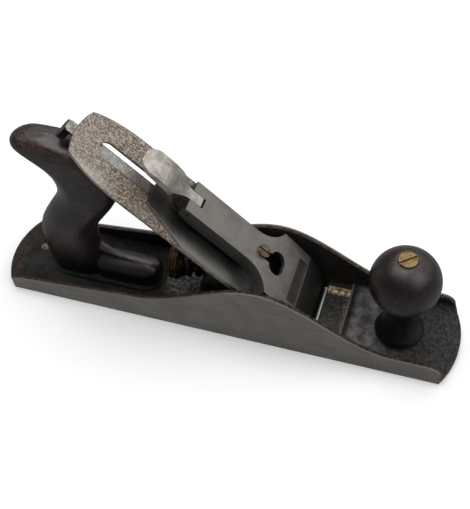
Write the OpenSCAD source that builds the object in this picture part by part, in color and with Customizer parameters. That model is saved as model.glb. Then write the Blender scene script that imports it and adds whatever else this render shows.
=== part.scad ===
// Junior jack plane: a cast sole with a pitched cutter, a lever cap, a frog with its screw
// adjustments, and a rosewood grip and knob. X points to the toe, Y to the left cheek, Z up.
// The origin is the middle of the sole. Millimetres.

/* [Sole and cheeks] */
// Length of the sole, heel to toe
body_length = 292; // [285:1:300]
// Width of the sole
body_width = 54; // [53.4:0.1:56]
// How far the toe bows out
toe_bow = 7.6; // [5:0.1:11]
// How far the heel bows out
heel_bow = 8.6; // [6:0.1:12]
// Thickness of the sole plate
floor_t = 4.5; // [4:0.1:5.5]
// Thickness of a cheek
cheek_t = 3; // [2.4:0.1:3.2]
// Height of the cheeks at their crown
crown_h = 48.5; // [44:0.5:52]
// Place of the crown ahead of the middle
crown_x = 31; // [26:0.5:36]
// Height of the cheeks at the toe
toe_h = 14; // [11:0.1:16]
// Height of the cheeks at the heel
heel_h = 9.6; // [8:0.1:12]
// Height of the cheeks at the foot of the rear sweep
sweep_h = 18.4; // [16:0.1:20]
// Length of the sweep behind the crown
rear_sweep = 83; // [75:1:90]
// Length of the sweep ahead of the crown
front_sweep = 79; // [70:1:85]
// Round of the cheek ends at the toe
toe_round = 9; // [5:0.5:11]
// Width of the raised rim round the heel
heel_lip = 8.5; // [7:0.5:10]

/* [Mouth and bed] */
// Pitch of the cutter
pitch = 45; // [44:0.5:46]
// Distance of the mouth's front edge ahead of the middle
mouth_x = 61; // [57:0.1:64]
// Opening ahead of the cutting edge
mouth_gap = 1.4; // [1.4:0.1:2.5]
// Height of the cutting edge above the sole at rest
edge_lift = 0.3; // [0.1:0.1:1]
// Room on each side between the mouth's ends and the cheeks
mouth_side = 0.2; // [0.1:0.1:0.5]
// Depth of the worn recess ahead of the mouth
recess_d = 1.2; // [0.5:0.1:2]
// Length of the recess ahead of the mouth
recess_len = 15.5; // [13:0.1:18]
// Height of the cross rib above the sole
rib_h = 9.5; // [7:0.1:12]
// Height of the frog seat above the sole
seat_h = 13; // [12:0.1:14]
// Room on each side between the frog's edge and its seat's edge
seat_inset = 1; // [0.5:0.1:1.5]

/* [Frog] */
// Room on each side between the frog and a cheek
frog_room = 4; // [3:0.1:5]
// Thickness of the sloping face
face_t = 5; // [4.5:0.1:5.5]
// Length up the slope to the top of the frog
frog_top = 102; // [101:0.5:106]
// Distance of the frog's back behind the cutting edge
frog_len = 65.6; // [64.6:0.1:66.6]
// Thickness of the frog's side walls
frog_wall = 3; // [2.5:0.1:3.4]
// Thickness of the frog's foot
foot_t = 5.5; // [5:0.1:6.5]
// Radius of a frog screw
frog_screw_r = 2.9; // [2.5:0.1:3]
// Radius of the adjusting screw under the nut
set_screw_r = 2.5; // [2:0.1:2.8]
// Height of the adjusting screw's axis
set_screw_h = 9.4; // [9:0.1:9.6]

/* [Depth adjustment] */
// Height of the stud's axis above the sole
stud_h = 29.8; // [29.4:0.1:30.2]
// Radius of the stud
stud_r = 3.4; // [3:0.1:3.8]
// Radius of the adjusting nut
nut_r = 11.5; // [10.8:0.1:12.5]
// Width of the nut's milled rim
nut_rim = 6; // [5:0.5:7]
// Width of the groove in the nut
groove_w = 6.8; // [6.6:0.1:7.4]
// Thickness of a yoke prong
prong_t = 2.8; // [2.4:0.1:3]
// Height of the yoke's pivot above the sole
yoke_h = 50; // [49.5:0.1:50.5]
// Thickness of the yoke's finger
finger_t = 4; // [3.4:0.1:4.2]

/* [Cutter and cap iron] */
// Room on each side between the cutter and a cheek
side_room = 1.775; // [1.6:0.025:2.2]
// Thickness of the cutter
iron_t = 2; // [1.8:0.1:2.2]
// Length of the cutter
iron_len = 185; // [182:0.5:188]
// Length up the cutter to where its sides draw in
iron_shoulder = 146; // [142:0.1:150]
// Width of the cutter at its rounded top
iron_top_w = 31.6; // [28:0.1:34]
// Width of the slot in the cutter
slot_w = 12; // [11.6:0.1:12.6]
// Length up the cutter to the top of the slot
slot_top = 169.6; // [160:0.1:174]
// Grinding angle of the cutter
grind = 25; // [22:1:30]
// Length up the slope to the top of the cap iron
cap_iron_len = 132; // [130:0.5:134]
// Thickness of the cap iron
cap_iron_t = 2.1; // [1.8:0.1:2.3]
// Width of the cap iron at its top
cap_iron_top_w = 24; // [18:0.5:30]
// Height of the cap iron's hump
hump = 2; // [1.5:0.1:2.2]

/* [Lever cap] */
// Room on each side between the lever cap's edge and the cutter's
cap_inset = 0.225; // [0.1:0.025:0.8]
// Width of the lever cap's stem
stem_w = 21; // [19:0.2:24]
// Height of the lever cap's face above the cutter
cap_face = 16.3; // [16:0.1:17]
// Length up the slope to the ends of the lever cap's ears
cap_top = 115.6; // [115:0.1:117]
// Length up the slope to the lever cap's shoulders
cap_shoulder = 51; // [49:0.1:52]
// Thickness of the lever cap's shell
cap_shell = 3; // [2.6:0.1:3.4]
// Width of the keyhole's big end
keyhole_w = 15.4; // [14:0.2:17]
// Width of the shallow panel across the lever cap
panel_w = 31; // [28:0.5:34]
// Length of the panel up the slope
panel_len = 7; // [6:0.1:8]
// Depth of the panel
panel_d = 0.7; // [0.4:0.1:1]
// Radius of the lever cap screw
cap_screw_r = 2.8; // [2.5:0.1:3]
// Length up the slope to the lever cap screw
cap_screw_s = 61.3; // [61:0.1:61.6]
// Width of the cam lever's tongue
tongue_w = 6.2; // [5:0.1:7]
// Width of the cam lever's thumb piece
thumb_w = 16.4; // [14:0.2:18]
// Length up the slope to the end of the thumb piece
thumb_end = 151; // [148:0.5:154]

/* [Lateral lever] */
// Width of the lateral lever
lateral_w = 7.6; // [7:0.2:9]
// Length up the slope to the end of the lateral lever
lateral_end = 190; // [188:0.5:192]
// Radius of the lateral lever's thumb disc
disc_r = 5.9; // [5:0.1:6.2]
// Radius of the roller in the cutter's slot
roller_r = 5.2; // [4.6:0.1:5.3]

/* [Grip and knob] */
// Height of the grip above its seat
grip_h = 115; // [112:1:116]
// Thickness of the grip
grip_t = 23; // [20:0.5:25]
// Distance of the grip's heel end behind the middle
grip_x = 118; // [116:0.5:119]
// Radius of the knob's ball
ball_r = 20.1; // [18.5:0.1:21]
// Height of the middle of the ball above the sole
ball_h = 54.5; // [52:0.5:56]
// Radius of the knob's foot
knob_foot_r = 14.2; // [13:0.1:15]
// Distance of the knob's axis ahead of the middle
knob_x = 109.8; // [107:0.1:112]
// Radius of the rods through grip and knob
rod_r = 2.9; // [2.5:0.1:3.2]
// Radius of the brass nuts
brass_r = 5.3; // [4.8:0.1:6]

/* [Hidden] */
$fn = 48;

// Clearances: a running fit, a seated face between moving bodies, and a cut's overshoot
run = 0.05;
seat_gap = 0.15;
over = 1;

// Frame of the cutter: its edge, the way up the slope and the way out of its upper face
edge_x = mouth_x - mouth_gap;
up_x = -cos(pitch);
up_z = sin(pitch);
function on_x(s, h) = edge_x + s * up_x + h * up_z;
function on_z(s, h) = edge_lift + s * up_z - h * up_x;
function on_slope(s, h) = [on_x(s, h), on_z(s, h)];
// Where a line that runs up the slope at a height passes a level
function at_level(z, h) = on_slope((z - on_z(0, h)) / up_z, h);

// Derived sizes of the sole
half_w = body_width / 2;
between = body_width - 2 * cheek_t;
mouth_w = between - 2 * mouth_side;
frog_w = between - 2 * frog_room;
seat_w = frog_w - 2 * seat_inset;
iron_w = between - 2 * side_room;
cap_w = iron_w - 2 * cap_inset;
toe_arc = (half_w * half_w + toe_bow * toe_bow) / (2 * toe_bow);
heel_arc = (half_w * half_w + heel_bow * heel_bow) / (2 * heel_bow);
toe_start = body_length / 2 - toe_bow;
heel_start = -body_length / 2 + heel_bow;
sweep_x = crown_x - rear_sweep;
rib_x = mouth_x + recess_len;
rib_t = 1.2;
rib_foot = 3;
// Height of the ramp behind the mouth, with room for the frog to be set back
ramp_h = -iron_t - 1.2;
frog_rear = edge_x - frog_len;
seat_rear = frog_rear + 2.5;

// The frog's underside, the underside of its sloping face, and its screws
frog_base = seat_h + seat_gap;
frog_under = -iron_t - face_t;
frog_screw_x = frog_rear + 26;
frog_screw_y = [9 - frog_w / 2, frog_w / 2 - 9];
frog_fore = 0.6;
frog_aft = 1.6;
washer_t = 1.4;

// The clip behind the frog and the thin neck of the screw that turns in it
clip_t = 1.6;
clip_x = frog_rear - clip_t;
clip_w = 12;
clip_screw_h = 16.5;
clip_screw_r = 2;
neck_r = set_screw_r - 0.7;

// The lever cap's front edge, its curves, its panel, and the pins of the slope
cap_edge = 8;
nose_draw = 1.6;
nose_run = 14;
cap_curve = 220;
nose_s = 27.5;
nose_curve = 44;
panel_s = nose_s + 0.6;
crown_s = 60;
finger_s = 72;
roller_s = 84;
rivet_s = 97;
iron_screw_s = 118;
cam_s = 112.5;
cam_h = 12.8;
cam_pin_r = 1.6;
rivet_r = 2.2;
roller_pin_r = 2;
iron_screw_r = 3.6;

// Underside of the lever cap's walls, and the flat spring riveted to its boss
wall_low = 7;
spring_t = 0.8;
spring_s = 86;
spring_w = 11;
boss_low = wall_low - 0.6;
spring_rivet_r = 1.5;

// Stud, nut and yoke along X
groove_x = frog_rear - 15.4;
nut_x = groove_x - 3.8 - nut_rim;
yoke_x = frog_rear - 3;
prong_x = groove_x + groove_w / 2;
flange_r = 7.8;
hub_r = 5.4;
fork_z = yoke_h - 11;
prong_low = stud_h - 1.8;
yoke_pin_r = 1.85;
yoke_arm_w = 8.8;
ear_in = yoke_arm_w / 2 + 0.3;
ear_t = 3;

// Grip and knob
pad_h = floor_t + 2.5;
grip_rear = -grip_x;
rod_lean = 19.4;
rod_x = grip_rear + 10;
rod_low = -4.6;
brass_h = 5;
grip_nut_up = (grip_h - 8) / cos(rod_lean) - brass_h;
nut_rim_w = 1.6;
knob_top = ball_h + ball_r * sin(acos((brass_r + nut_rim_w) / ball_r));

// A smooth step from 0 to 1 and a curve through hand-set points
function smooth(t) = let (u = min(max(t, 0), 1)) u * u * (3 - 2 * u);
function blend(a, b, c, d, t) = 0.5 * (2 * b + (c - a) * t + (2 * a - 5 * b + 4 * c - d) * t * t
    + (3 * b - a - 3 * c + d) * t * t * t);
function curve(p, n) = let (last = len(p) - 1) [
    for (i = [0:last - 1], j = [0:n - 1])
        blend(p[max(i - 1, 0)], p[i], p[i + 1], p[min(i + 2, last)], j / n),
    p[last]
];

// Height of a cheek at a place along the sole
function cheek_top(x) =
    x < sweep_x ? heel_h + (sweep_h - heel_h) * (x - heel_start) / (sweep_x - heel_start)
    : x < crown_x ? sweep_h + (crown_h - sweep_h) * smooth((x - sweep_x) / rear_sweep)
    : toe_h + (crown_h - toe_h) * (1 - smooth((x - crown_x) / front_sweep));

// Puts children, drawn with X up the slope and Z out of the cutter's upper face, in place
module slope() {
    translate([edge_x, 0, edge_lift])
        rotate([0, pitch - 180, 0])
            rotate([180, 0, 0])
                children();
}

// Extrudes a side view, drawn in X and Z, to a width centred on the middle plane
module side_view(width, at_y = 0) {
    translate([0, at_y + width / 2, 0])
        rotate([90, 0, 0])
            linear_extrude(width)
                children();
}

// A cylinder along X from one place to another
module along_x(x1, x2, r) {
    translate([x1, 0, 0])
        rotate([0, 90, 0])
            cylinder(h = x2 - x1, r = r);
}

// Outline of the sole seen from above
module sole_outline() {
    lap = 12;
    translate([heel_start + lap, -half_w])
        square([toe_start - heel_start - 2 * lap, body_width]);
    intersection() {
        translate([body_length / 2 - toe_arc, 0])
            circle(r = toe_arc, $fn = 180);
        translate([toe_start - 2 * lap, -half_w])
            square([toe_bow + 2 * lap + over, body_width]);
    }
    intersection() {
        translate([heel_arc - body_length / 2, 0])
            circle(r = heel_arc, $fn = 180);
        translate([-body_length / 2 - over, -half_w])
            square([heel_bow + 2 * lap + over, body_width]);
    }
}

// Side view of a cheek, with the quarter round at its toe end
module cheek_view() {
    step = 3;
    round_x = toe_start + 1.5 - toe_round;
    heel_x = -body_length / 2;
    top = [for (x = [heel_x:step:round_x - step / 2]) [x, cheek_top(x)]];
    turn = [for (a = [90:-10:0]) [round_x + toe_round * cos(a), toe_h + toe_round * (sin(a) - 1)]];
    polygon(concat([[heel_x, 0]], top, turn, [[toe_start + 1.5, 0]]));
}

// Cheek with the fillet at its root, left out beside the mouth, not yet trimmed to the sole
module cheek() {
    fillet = 2.2;
    translate([0, (cheek_t - over) / 2 - half_w, 0])
        side_view(cheek_t + over)
            cheek_view();
    for (run_x = [[-body_length / 2, edge_x - 16], [mouth_x + 1.2, body_length / 2]])
        translate([run_x[0], cheek_t - half_w, floor_t])
            rotate([90, 0, 90])
                linear_extrude(run_x[1] - run_x[0])
                    polygon([[-over, -over], [fillet + 0.5, -over], [fillet, 0], [0.3, fillet],
                        [-over, fillet]]);
}

// Raised rim round the heel, sloping in to the floor
module heel_rim() {
    crest = 1.4;
    lip_h = heel_h - 0.6;
    out = heel_arc + over;
    translate([heel_arc - body_length / 2, 0, 0])
        rotate_extrude($fn = 180)
            polygon([[heel_arc - heel_lip - 1, floor_t - over], [out, floor_t - over], [out, lip_h],
                [heel_arc - crest, lip_h], [heel_arc - heel_lip, floor_t]]);
}

// Flat places of the frog seat and the ramp down to the mouth
module frog_seat() {
    side_view(seat_w)
        polygon([[seat_rear, 1], [seat_rear, seat_h], at_level(seat_h, ramp_h), at_level(1, ramp_h)]);
    side_view(body_width - cheek_t)
        polygon([[seat_rear + 20, 1], [seat_rear + 20, floor_t], at_level(floor_t + 3, ramp_h) - [6, 0],
            at_level(floor_t + 3, ramp_h), at_level(1, ramp_h)]);
}

// Cut of the mouth: the ramp behind it and an upright wall ahead
module mouth_cut() {
    side_view(mouth_w)
        polygon([at_level(-over, ramp_h), at_level(floor_t + over, ramp_h), [mouth_x, floor_t + over],
            [mouth_x, -over]]);
}

// Low walls under the grip that hold its foot
module grip_pad() {
    pad_w = grip_t + 2;
    pad_front = grip_rear + 77;
    linear_extrude(pad_h) {
        translate([grip_rear + pad_w / 2, -pad_w / 2])
            square([pad_front - grip_rear - pad_w, pad_w]);
        for (x = [grip_rear + pad_w / 2, pad_front - pad_w / 2])
            translate([x, 0])
                circle(d = pad_w);
    }
}

module body_casting() {
    inner_w = body_width - cheek_t;
    color([0.42, 0.41, 0.39])
        difference() {
            intersection() {
                linear_extrude(crown_h + over)
                    sole_outline();
                union() {
                    translate([-body_length, -body_width, 0])
                        cube([2 * body_length, 2 * body_width, floor_t]);
                    cheek();
                    mirror([0, 1, 0])
                        cheek();
                    intersection() {
                        heel_rim();
                        translate([-body_length, -body_width, 0])
                            cube([body_length * 0.6, 2 * body_width, crown_h]);
                    }
                    frog_seat();
                    grip_pad();
                    translate([knob_x, 0, 1])
                        cylinder(h = pad_h - 1, r = knob_foot_r - 0.4);
                    side_view(inner_w)
                        polygon([[rib_x, 1], [rib_x, rib_h], [rib_x + rib_t, rib_h],
                            [rib_x + rib_foot, floor_t], [rib_x + rib_foot, 1]]);
                }
            }
            mouth_cut();
            translate([mouth_x - over, cheek_t + 3 - half_w, floor_t - recess_d])
                cube([recess_len + over, body_width - 2 * cheek_t - 6, floor_t]);
            for (y = frog_screw_y)
                translate([frog_screw_x, y, floor_t])
                    cylinder(h = seat_h, r = frog_screw_r + run);
            translate([0, 0, set_screw_h])
                along_x(seat_rear - over, seat_rear + 16, set_screw_r + run);
            translate([knob_x, 0, 1.5])
                cylinder(h = pad_h, r = rod_r + run);
            translate([rod_x, 0, pad_h])
                rotate([0, rod_lean, 0])
                    translate([0, 0, -5])
                        cylinder(h = 10, r = rod_r + run);
        }
}

// Outline of the frog's face, drawn up the slope
module face_outline() {
    low = (frog_base - on_z(0, -iron_t)) / up_z;
    bend = frog_top - 24;
    polygon([[low - 6, -frog_w / 2], [bend, -frog_w / 2], [frog_top - 8, -15], [frog_top, -11],
        [frog_top, 11], [frog_top - 8, 15], [bend, frog_w / 2], [low - 6, frog_w / 2]]);
}

// Side wall of the frog with its hollow back edge
module frog_side() {
    wall_top = frog_top - 26;
    hollow_r = 15;
    difference() {
        side_view(frog_wall)
            polygon([[frog_rear, frog_base], at_level(frog_base, frog_under + 0.5),
                on_slope(wall_top, frog_under + 0.5), on_slope(wall_top, frog_under - 2),
                [frog_rear, on_z(wall_top, frog_under) - 14]]);
        translate([frog_rear - 0.8 * hollow_r, 0, stud_h + hollow_r])
            rotate([90, 0, 0])
                cylinder(h = 2 * frog_w, r = hollow_r, center = true);
    }
}

module frog() {
    rear_wall = 4;
    stud_boss_r = 6.4;
    web = finger_t + 5;
    lever_bed = 2;
    color([0.2, 0.2, 0.2])
        difference() {
            union() {
                difference() {
                    slope()
                        translate([0, 0, frog_under])
                            linear_extrude(face_t)
                                face_outline();
                    translate([0, -frog_w, frog_base - 30])
                        cube([80, 2 * frog_w, 30]);
                }
                side_view(frog_w - 0.4)
                    polygon([[frog_rear, frog_base], [frog_rear, frog_base + foot_t],
                        at_level(frog_base + foot_t, frog_under + 1), at_level(frog_base, frog_under + 1)]);
                for (y = [-1, 1])
                    translate([0, y * ((frog_w - frog_wall) / 2 - 0.4), 0])
                        frog_side();
                side_view(frog_w - 1)
                    translate([frog_rear, frog_base])
                        square([rear_wall, stud_h + 8 - frog_base]);
                translate([0, 0, stud_h])
                    along_x(frog_rear - 4, frog_rear + 1, stud_boss_r);
                slope()
                    translate([cap_screw_s, 0, frog_under - 6])
                        cylinder(h = 7, r = cap_screw_r + 3);
                for (y = [-1, 1])
                    side_view(ear_t, y * (ear_in + ear_t / 2))
                        union() {
                            translate([yoke_x, yoke_h])
                                circle(r = 5);
                            polygon([[yoke_x - 4, yoke_h + 2.4], [yoke_x + 1, yoke_h - 4.6],
                                on_slope(finger_s + 2, frog_under + 1),
                                on_slope(finger_s + 16, frog_under + 1)]);
                        }
            }
            slope() {
                translate([cap_screw_s, 0, -20])
                    cylinder(h = 20, r = cap_screw_r + run);
                translate([finger_s, 0, -8])
                    cube([web, 8, 30], center = true);
                translate([roller_s - 7.4, -10, -iron_t - lever_bed])
                    cube([40, 20, 6]);
                translate([rivet_s, 0, -20])
                    cylinder(h = 20, r = rivet_r);
            }
            for (y = frog_screw_y) {
                translate([frog_screw_x, y, frog_base + foot_t])
                    cylinder(h = 60, r = 6.3);
                for (x = [-frog_fore, frog_aft])
                    translate([frog_screw_x + x, y, frog_base - over])
                        cylinder(h = 20, r = frog_screw_r + 0.3);
                translate([frog_screw_x - frog_fore, y - frog_screw_r - 0.3, frog_base - over])
                    cube([frog_fore + frog_aft, 2 * frog_screw_r + 0.6, 20]);
            }
            translate([0, 0, stud_h])
                along_x(frog_rear - 8, 0, stud_r);
            translate([0, 0, clip_screw_h])
                along_x(frog_rear - over, 0, clip_screw_r);
            translate([yoke_x, 0, yoke_h])
                rotate([90, 0, 0])
                    cylinder(h = 40, r = yoke_pin_r, center = true);
        }
}

module frog_screws() {
    head_z = frog_base + foot_t + seat_gap + washer_t;
    color([0.45, 0.42, 0.38])
        for (y = frog_screw_y)
            translate([frog_screw_x, y, 0])
                difference() {
                    union() {
                        translate([0, 0, floor_t + 0.5])
                            cylinder(h = head_z - floor_t, r = frog_screw_r);
                        translate([0, 0, head_z])
                            cylinder(h = 3, r = 4.6);
                    }
                    translate([-5, -0.6, head_z + 1.8])
                        cube([10, 1.2, 2]);
                }
}

module frog_washers() {
    color([0.5, 0.48, 0.44])
        for (y = frog_screw_y)
            translate([frog_screw_x, y, frog_base + foot_t + seat_gap])
                difference() {
                    cylinder(h = washer_t, r = 5.5);
                    translate([0, 0, -over])
                        cylinder(h = 4, r = frog_screw_r + run);
                }
}

module frog_set_screw() {
    head_r = 3.6;
    color([0.4, 0.38, 0.36])
        translate([0, 0, set_screw_h])
            difference() {
                union() {
                    along_x(frog_rear + 0.2, seat_rear + 13, set_screw_r);
                    along_x(clip_x - 0.3, frog_rear + 0.3, neck_r);
                    along_x(clip_x - 4.8, clip_x - 0.2, head_r);
                }
                translate([clip_x - 6, -5, -0.6])
                    cube([2.6, 10, 1.2]);
            }
}

module frog_clip() {
    low = set_screw_h - 3.4;
    color([0.3, 0.29, 0.28])
        difference() {
            translate([clip_x, -clip_w / 2, low])
                cube([clip_t, clip_w, clip_screw_h + 3.3 - low]);
            translate([0, 0, set_screw_h])
                along_x(frog_rear - 4, 0, neck_r + 0.2);
            translate([frog_rear - 4, -neck_r - 0.2, low - over])
                cube([6, 2 * neck_r + 0.4, set_screw_h - low + over]);
            translate([0, 0, clip_screw_h])
                along_x(frog_rear - 4, 0, clip_screw_r);
        }
}

module frog_clip_screw() {
    color([0.4, 0.38, 0.36])
        translate([0, 0, clip_screw_h])
            difference() {
                union() {
                    along_x(clip_x - 0.1, frog_rear + 3.6, clip_screw_r);
                    along_x(clip_x - 2, clip_x, 2.9);
                }
                translate([clip_x - 2.5, -0.5, -5])
                    cube([1.4, 1, 10]);
            }
}

module adjusting_stud() {
    color([0.5, 0.48, 0.45])
        translate([0, 0, stud_h])
            along_x(nut_x - 0.5, frog_rear + 3.6, stud_r);
}

module adjusting_nut() {
    front = groove_x + groove_w;
    color([0.62, 0.5, 0.28])
        translate([0, 0, stud_h])
            rotate([0, 90, 0])
                difference() {
                    rotate_extrude()
                        polygon([[stud_r + run, nut_x], [nut_r - 4, nut_x + 3.4], [nut_r - 3.4, nut_x + 0.6],
                            [nut_r - 2.6, nut_x], [nut_r - 0.5, nut_x], [nut_r, nut_x + 0.5],
                            [nut_r, nut_x + nut_rim - 0.5], [nut_r - 0.5, nut_x + nut_rim],
                            [flange_r + 0.5, groove_x], [hub_r, groove_x], [hub_r, front],
                            [flange_r, front], [flange_r, front + 2.2], [stud_r + run, front + 2.2]]);
                    translate([0, 0, nut_x - over])
                        cylinder(h = 3.4, r1 = nut_r - 2, r2 = nut_r - 5);
                }
}

// Side view of the yoke's arm, from its fork up over the pivot to the root of the finger
module yoke_arm_view() {
    translate([yoke_x, yoke_h])
        circle(r = 4.6);
    polygon([[yoke_x - 3, yoke_h + 3.4], [prong_x - prong_t / 2, fork_z + 5], [prong_x - prong_t / 2, fork_z],
        [prong_x + prong_t / 2 + 1, fork_z], [yoke_x + 1, yoke_h - 4.5]]);
    polygon([[yoke_x, yoke_h + 4.6], on_slope(finger_s + 8, -10.2), on_slope(finger_s + finger_t / 2, -9),
        on_slope(finger_s - finger_t / 2, -9), on_slope(finger_s - finger_t / 2 + 0.4, -11.5),
        [yoke_x + 6, yoke_h - 8.4], [yoke_x, yoke_h - 4.6]]);
}

module yoke() {
    prong_in = hub_r + 0.5;
    prong_w = 2.8;
    color([0.25, 0.25, 0.25])
        difference() {
            union() {
                side_view(yoke_arm_w)
                    yoke_arm_view();
                slope()
                    translate([finger_s - finger_t / 2, -2.6, -10.5])
                        cube([finger_t, 5.2, 10.5 + cap_iron_t - 0.3]);
                side_view(2 * (prong_in + prong_w))
                    translate([prong_x - prong_t / 2, fork_z])
                        square([prong_t, 4.5]);
                for (y = [-1, 1])
                    side_view(prong_w, y * (prong_in + prong_w / 2))
                        union() {
                            translate([prong_x, prong_low])
                                circle(r = prong_t / 2);
                            translate([prong_x - prong_t / 2, prong_low])
                                square([prong_t, fork_z - prong_low + 1]);
                        }
            }
            translate([yoke_x, 0, yoke_h])
                rotate([90, 0, 0])
                    cylinder(h = 40, r = yoke_pin_r + run, center = true);
        }
}

module yoke_pin() {
    color([0.5, 0.48, 0.45])
        translate([yoke_x, 0, yoke_h])
            rotate([90, 0, 0])
                cylinder(h = 2 * (ear_in + ear_t) + 0.2, r = yoke_pin_r, center = true);
}

module lateral_lever() {
    leaf = 1.6;
    near = -iron_t - seat_gap;
    under = -iron_t - 3.5;
    along = -iron_t - 0.6;
    dip_s = frog_top + 2.4;
    rise_s = iron_screw_s + 9.5;
    disc_t = 3.9;
    color([0.5, 0.49, 0.47])
        slope()
            difference() {
                union() {
                    side_view(lateral_w)
                        polygon([[roller_s, near - leaf], [dip_s - 0.8, near - leaf],
                            [dip_s + 2.5, under - leaf], [rise_s + 0.8, under - leaf], [rise_s + 4.3, along - leaf],
                            [lateral_end - 1, along - leaf], [lateral_end - 1, along], [rise_s + 3.5, along],
                            [rise_s, under], [dip_s + 3.3, under], [dip_s, near], [roller_s, near]]);
                    for (s = [roller_s, rivet_s])
                        translate([s, 0, near - leaf])
                            cylinder(h = leaf, r = s == roller_s ? 6.2 : 6.6);
                    translate([roller_s, 0, near - leaf])
                        cylinder(h = leaf + 1.9, r = roller_pin_r);
                    translate([lateral_end - disc_t, 0, along + 0.3 - disc_r])
                        rotate([0, 90, 0])
                            cylinder(h = disc_t, r = disc_r);
                }
                translate([rivet_s, 0, -20])
                    cylinder(h = 30, r = rivet_r + run);
            }
}

module lateral_rivet() {
    color([0.5, 0.48, 0.45])
        slope() {
            translate([rivet_s, 0, frog_under])
                cylinder(h = face_t + 0.2, r = rivet_r);
            translate([rivet_s, 0, -iron_t])
                cylinder(h = 1, r = 3.8);
        }
}

module lateral_roller() {
    color([0.55, 0.53, 0.5])
        slope()
            translate([roller_s, 0, -iron_t])
                difference() {
                    cylinder(h = 1.7, r = roller_r);
                    translate([0, 0, -over])
                        cylinder(h = 4, r = roller_pin_r + run);
                }
}

module cutting_iron() {
    half = iron_w / 2;
    top_half = min(iron_top_w, iron_w - 2) / 2;
    top_drop = 3.2;
    top_arc = (top_half * top_half + top_drop * top_drop) / (2 * top_drop);
    corner_s = iron_len - top_drop - 0.4;
    bend_s = iron_shoulder + 21;
    side = [for (i = [0:8]) let (t = i / 8, a = (1 - t) * (1 - t), b = 2 * t * (1 - t), c = t * t)
        [a * iron_shoulder + b * bend_s + c * corner_s, (a + b) * half + c * top_half]];
    color([0.5, 0.46, 0.41])
        slope()
            difference() {
                translate([0, 0, -iron_t])
                    linear_extrude(iron_t)
                        difference() {
                            intersection() {
                                polygon(concat([[0, half]], side,
                                    [[corner_s + 4, top_half - 1.7], [corner_s + 4, 1.7 - top_half]],
                                    [for (i = [8:-1:0]) [side[i][0], -side[i][1]]], [[0, -half]]));
                                union() {
                                    translate([iron_len - top_arc, 0])
                                        circle(r = top_arc, $fn = 180);
                                    translate([-over, -iron_w])
                                        square([iron_shoulder + over, 2 * iron_w]);
                                }
                            }
                            translate([cap_screw_s - 2, -slot_w / 2])
                                square([slot_top - slot_w / 2 - cap_screw_s + 2, slot_w]);
                            translate([slot_top - slot_w / 2, 0])
                                circle(d = slot_w);
                            translate([cap_screw_s - 2, 0])
                                circle(r = 8.2);
                        }
                side_view(2 * iron_w)
                    polygon([[0, 0], [-over, -over * 3], [(iron_t + over) / tan(grind), -iron_t - over]]);
            }
}

// Top and underside of the cap iron, from its sharp front edge over the hump to the flat
function hump_top(s) = cap_iron_t + hump * smooth((27 - s) / 16);
function cap_iron_upper(s) = s > 11 ? hump_top(s)
    : hump_top(11) * sqrt(1 - pow((11 - s) / 9.9, 2));
function cap_iron_lower(s) = s > 11 ? hump * smooth((27 - s) / 16)
    : s > 3 ? hump * sqrt(1 - pow((11 - s) / 8, 2)) : 0;

module cap_iron() {
    half = iron_w / 2;
    top_half = cap_iron_top_w / 2;
    taper_s = cap_iron_len - 31;
    step = 1.2;
    color([0.33, 0.33, 0.33])
        slope()
            difference() {
                intersection() {
                    side_view(2 * iron_w)
                        polygon(concat([for (s = [1.2:step:27]) [s, cap_iron_upper(s)]],
                            [[28, cap_iron_t], [cap_iron_len, cap_iron_t], [cap_iron_len, 0], [28, 0]],
                            [for (s = [27:-step:1.2]) [s, cap_iron_lower(s)]]));
                    linear_extrude(3 * cap_iron_t)
                        polygon([[0, -half], [taper_s, -half], [cap_iron_len, -top_half],
                            [cap_iron_len, top_half], [taper_s, half], [0, half]]);
                }
                translate([cap_screw_s - 1, 0, -over])
                    cylinder(h = 8, r = cap_screw_r + 1.4);
                translate([cap_screw_s + 0.6, 0, -over])
                    cylinder(h = 8, r = cap_screw_r + 1.4);
                translate([finger_s, 0, 0])
                    cube([finger_t + 1, 6.2, 10], center = true);
                translate([iron_screw_s, 0, -over])
                    cylinder(h = 8, r = iron_screw_r);
            }
}

module cap_iron_screw() {
    color([0.3, 0.29, 0.28])
        slope()
            translate([iron_screw_s, 0, 0])
                difference() {
                    union() {
                        translate([0, 0, -iron_t - 0.1])
                            cylinder(h = iron_t + cap_iron_t, r = iron_screw_r);
                        translate([0, 0, -iron_t - 3])
                            cylinder(h = 3, r = 7.2);
                    }
                    translate([-8, -0.7, -iron_t - 3.5])
                        cube([16, 1.4, 2]);
                }
}

// Height of the lever cap's face at a place up the slope
function cap_face_at(s) = cap_face - pow(max(crown_s - s, 0), 2) / (2 * cap_curve)
    - pow(max(nose_s - s, 0), 2) / (2 * nose_curve);

// Outline of the lever cap seen square to its face, drawn in by an inset. Its front corners
// taper in, so that they swing clear of the cheeks.
module cap_outline(inset) {
    low = cap_w / 2 - inset;
    stem = stem_w / 2 - inset;
    sweep = 20;
    rise = (cap_w - stem_w) / 2;
    stem_s = cap_shoulder + sqrt(rise * (2 * sweep - rise));
    difference() {
        polygon([[cap_edge, nose_draw - low], [cap_edge + nose_run, -low], [stem_s, -low], [stem_s, -stem],
            [cap_top, -stem], [cap_top, stem], [stem_s, stem], [stem_s, low], [cap_edge + nose_run, low],
            [cap_edge, low - nose_draw]]);
        for (y = [-1, 1])
            translate([stem_s + inset, y * (stem_w / 2 + sweep)])
                circle(r = sweep + inset, $fn = 120);
    }
}

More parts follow.
